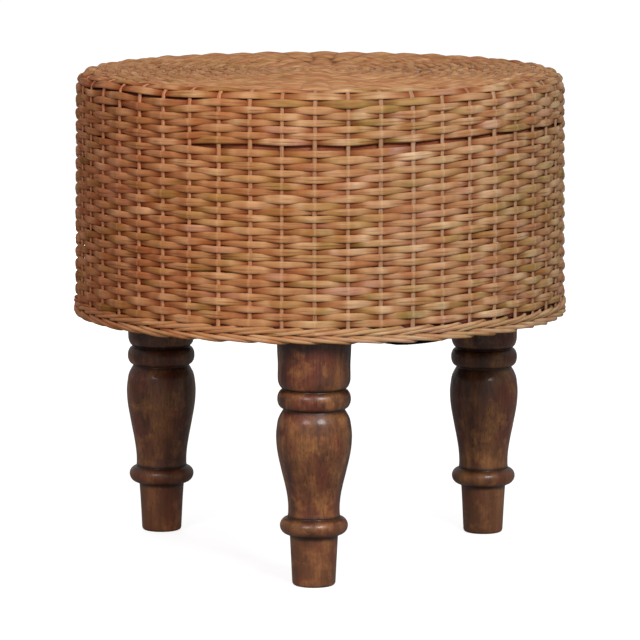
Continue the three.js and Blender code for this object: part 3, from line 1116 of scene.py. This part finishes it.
def leg_material():
    """Stained open-grained wood: golden and red patches, dark pores and staining in the grooves. The cap
    has painted shade, and the foot is painted lighter and warmer, as light thrown up by the floor.
    """
    material, tree, shader = surface("leg_wood")
    place = here(tree)
    figure = noise(tree, place, LEG_FIGURE, detail=3.0)
    color = ramp(tree, figure, (0.34, rgb(64, 35, 23)), (0.5, rgb(102, 61, 37)), (0.66, rgb(132, 88, 51)))
    red = greys(tree, noise(tree, place, LEG_RED, detail=3.0), (0.48, 0), (0.62, 0.75))
    color = mixed(tree, red, color, rgb(106, 49, 34))
    gold = greys(tree, noise(tree, place, LEG_GOLD, detail=4.0, roughness=0.6), (0.5, 0), (0.7, 0.7))
    color = mixed(tree, gold, color, rgb(166, 112, 62))
    grain = noise(tree, place, LEG_GRAIN, detail=4.0, roughness=0.65)
    color = shaded(tree, color, greys(tree, grain, (0.36, 0.64), (0.58, 1.0)))
    pores = noise(tree, place, LEG_PORES, detail=2.0, roughness=0.6)
    color = mixed(tree, greys(tree, pores, (0.3, 0.75), (0.4, 0)), color, rgb(40, 23, 16))
    # Painted light: lighter and warmer towards the floor
    foot_painted_light = greys(tree, along_axis(tree, place, "Z"), (0.0, 0.22), (0.1, 0))
    color = mixed(tree, foot_painted_light, color, rgb(170, 112, 72))
    # Darker with staining in the grooves and with painted shade at the cap
    stain_and_cap_shade = greys(tree, read(tree, "stain_and_cap_shade", "Fac"), (0.1, 0), (1.0, 0.85))
    color = mixed(tree, stain_and_cap_shade, color, rgb(34, 20, 15))
    wire(tree, color, shader.inputs["Base Color"])
    wire(tree, greys(tree, grain, (0.3, 0.5), (0.7, 0.36)), shader.inputs["Roughness"])
    shader.inputs["Specular IOR Level"].default_value = 0.35
    shader.inputs["Coat Weight"].default_value = 0.3
    shader.inputs["Coat Roughness"].default_value = 0.17
    bumped(tree, shader, grain, strength=0.15, distance=0.3 * MM)
    return material


def plain_wood(name, light, dark, stretch):
    """Bare wood with its grain along the axis on which stretch is least."""
    material, tree, shader = surface(name)
    grain = noise(tree, here(tree), stretch, detail=5.0, roughness=0.6)
    wire(tree, ramp(tree, grain, (0.3, dark), (0.7, light)), shader.inputs["Base Color"])
    wire(tree, greys(tree, grain, (0.3, 0.75), (0.7, 0.6)), shader.inputs["Roughness"])
    bumped(tree, shader, grain, strength=0.2, distance=0.3 * MM)
    return material


def steel_material():
    """Zinc-plated steel, a little blotchy."""
    material, tree, shader = surface("zinc_steel")
    spots = noise(tree, here(tree), STEEL_SPOTS, detail=3.0)
    wire(tree, greys(tree, spots, (0.3, 0.42), (0.7, 0.6)), shader.inputs["Base Color"])
    wire(tree, greys(tree, spots, (0.3, 0.45), (0.7, 0.28)), shader.inputs["Roughness"])
    shader.inputs["Metallic"].default_value = 1.0
    return material


def cloth_material():
    """Black spun-bonded cloth with its bond points."""
    material, tree, shader = surface("under_cloth")
    fibres = noise(tree, here(tree), CLOTH_FIBRES, detail=4.0, roughness=0.7)
    bonds = add(tree, "ShaderNodeTexVoronoi", {"Vector": here(tree), "Scale": CLOTH_BONDS})
    bonds = bonds.outputs["Distance"]
    tint = ramp(tree, fibres, (0.3, rgb(20, 18, 18)), (0.7, rgb(44, 40, 39)))
    wire(tree, tint, shader.inputs["Base Color"])
    wire(tree, greys(tree, bonds, (0.0, 0.7), (0.6, 0.95)), shader.inputs["Roughness"])
    bumped(tree, shader, bonds, strength=0.3, distance=0.2 * MM)
    return material


# Floor, lamps and camera

# Half the floor's width, how often its speckle changes, and how grey it is in the light that it throws up
FLOOR_HALF = 30.0
FLOOR_SPECKLE = (6, 6, 6)
FLOOR_DULL = 0.3

# To the eye the floor glows: by GLOW_LEAST within GLOW_NEAR of its middle, up to GLOW_MOST past GLOW_FAR
GLOW_NEAR = 1.0
GLOW_FAR = 5.0
GLOW_LEAST = 0.8
GLOW_MOST = 0.92

# Where the lamps point, and how bright the world is in the light that it gives
LAMP_AIM = Vector((0, 0, 0.28))
WORLD_LIGHT = 0.31

# The camera: the picture's width and the focal length in pixels, the sensor's width in millimetres, its
# distance and its height above the seat in drum radii, angles in degrees, and how far it sees in metres
PICTURE_PIXELS = 640
FOCAL_PIXELS = 4430
SENSOR_WIDTH = 36.0
CAMERA_AWAY = 18.0
CAMERA_ABOVE = 1.4446
CAMERA_PITCH = 7.841
CAMERA_TURN = 1.63
CAMERA_SHIFT = 0.009
CAMERA_ROLL = -0.08
CAMERA_REACH = 100.0


def floor_piece():
    """A wide pale floor: white to the eye but for the shadow on it, and dull in what it throws back up."""
    material = bpy.data.materials.new("floor")
    material.use_nodes = True
    tree = material.node_tree
    tree.nodes.remove(tree.nodes["Principled BSDF"])
    speckle = greys(tree, noise(tree, here(tree), FLOOR_SPECKLE), (0.3, 0.44), (0.7, 0.46))
    lit = add(tree, "ShaderNodeBsdfDiffuse", {"Color": speckle}).outputs[0]
    away = add(tree, "ShaderNodeVectorMath", {0: here(tree)}, operation="LENGTH").outputs["Value"]
    glow = mapped(tree, away, GLOW_NEAR, GLOW_FAR, GLOW_LEAST, GLOW_MOST)
    glow = add(tree, "ShaderNodeEmission", {"Color": grey(1.0), "Strength": glow}).outputs[0]
    seen = add(tree, "ShaderNodeAddShader", {0: lit, 1: glow}).outputs[0]
    dull = add(tree, "ShaderNodeBsdfDiffuse", {"Color": grey(FLOOR_DULL)}).outputs[0]
    eye = add(tree, "ShaderNodeLightPath").outputs["Is Camera Ray"]
    either = add(tree, "ShaderNodeMixShader", {0: eye, 1: dull, 2: seen}).outputs[0]
    wire(tree, either, tree.nodes["Material Output"].inputs["Surface"])
    half = FLOOR_HALF
    mesh = bpy.data.meshes.new("floor")
    corners = [(-half, -half, 0), (half, -half, 0), (half, half, 0), (-half, half, 0)]
    mesh.from_pydata(corners, [], [(0, 1, 2, 3)])
    mesh.materials.append(material)
    floor = bpy.data.objects.new("floor", mesh)
    bpy.context.collection.objects.link(floor)


def lamp(name, around, up, distance, size, level, color=(1, 1, 1), shine=True):
    """A round soft lamp aimed at the drum, at angles in degrees from the front and up.

    Level 1 alone lights a face as its colour is, and a lamp without shine gives no highlights."""
    data = bpy.data.lights.new(name, "AREA")
    data.shape = "DISK"
    data.size = size
    data.energy = level * (math.pi * distance) ** 2
    data.color = color
    made = bpy.data.objects.new(name, data)
    bpy.context.collection.objects.link(made)
    around, up = math.radians(around - 90), math.radians(up)
    away = Vector((math.cos(up) * math.cos(around), math.cos(up) * math.sin(around), math.sin(up)))
    made.location = LAMP_AIM + away * distance
    made.rotation_euler = away.to_track_quat("Z", "Y").to_euler()
    made.visible_glossy = shine


def light_scene():
    """Two lamps in front, two behind, and a pale world that is white to the eye."""
    lamp("right", around=25, up=30, distance=2.2, size=0.8, level=0.66)
    lamp("left", around=-24, up=27, distance=2.2, size=0.8, level=0.33, color=(1, 0.82, 0.82))
    lamp("back", around=165, up=58, distance=2.4, size=1.4, level=0.14)
    lamp("rear", around=195, up=9, distance=2.6, size=1.2, level=0.36, shine=False)
    world = bpy.data.worlds.new("studio")
    world.use_nodes = True
    tree = world.node_tree
    eye = add(tree, "ShaderNodeLightPath").outputs["Is Camera Ray"]
    background = tree.nodes["Background"]
    background.inputs["Color"].default_value = grey(1.0)
    wire(tree, mapped(tree, eye, 0.0, 1.0, WORLD_LIGHT, 1.0), background.inputs["Strength"])
    bpy.context.scene.world = world


def aim_camera():
    """The camera looks down a little, from just right of the front leg."""
    pitch, turn = math.radians(CAMERA_PITCH), math.radians(CAMERA_TURN)
    shift, roll = math.radians(CAMERA_SHIFT), math.radians(CAMERA_ROLL)
    away = CAMERA_AWAY * drum_radius
    data = bpy.data.cameras.new("camera")
    data.sensor_width = SENSOR_WIDTH
    data.lens = FOCAL_PIXELS / PICTURE_PIXELS * SENSOR_WIDTH
    data.clip_end = CAMERA_REACH
    camera = bpy.data.objects.new("camera", data)
    bpy.context.collection.objects.link(camera)
    height = seat_height + CAMERA_ABOVE * drum_radius
    camera.location = (away * math.sin(turn), -away * math.cos(turn), height)
    camera.rotation_euler = (QUARTER - pitch, roll, turn + shift)
    bpy.context.scene.camera = camera


# The stool's pieces, in the order of their random draws

side_cane = side_cane_material()
top_cane = top_cane_material()
weave = woven_pieces(side_cane, top_cane)
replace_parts(weave["side_weave_low"], "woven_side")
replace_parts(weave["top_weave"], "woven_top")
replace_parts(plait_piece(side_cane), "border")
stakes_piece(stake_cane_material())
inner_canes_piece("gap_canes", gap_rings(), gap_cane_material())
inner_canes_piece("lining_canes", (*BORDER_LINING, *RIM_LINING), lining_cane_material())
top_eye_piece(top_cane)
leg_wood = leg_material()
for node in LEG_NODES:
    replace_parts(leg_piece(node, leg_wood), node)
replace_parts(dust_cloth_piece(cloth_material()), "under_cloth")

# Finishes of the CAD parts that stay, by their slot in the record
finishes = {
    "pole_cane": plain_wood("pole_cane", rgb(214, 178, 122), rgb(176, 132, 80), POLE_GRAIN),
    "board_wood": plain_wood("board_wood", rgb(205, 172, 124), rgb(166, 128, 84), BOARD_GRAIN),
    "fastener_steel": steel_material(),
}
for part in frame["record"]["subparts"]:
    if part["material_slot"] in finishes:
        for slot in frame["nodes"][part["node"]].material_slots:
            slot.material = finishes[part["material_slot"]]

floor_piece()
light_scene()
aim_camera()
bpy.context.scene.view_settings.view_transform = "Standard"
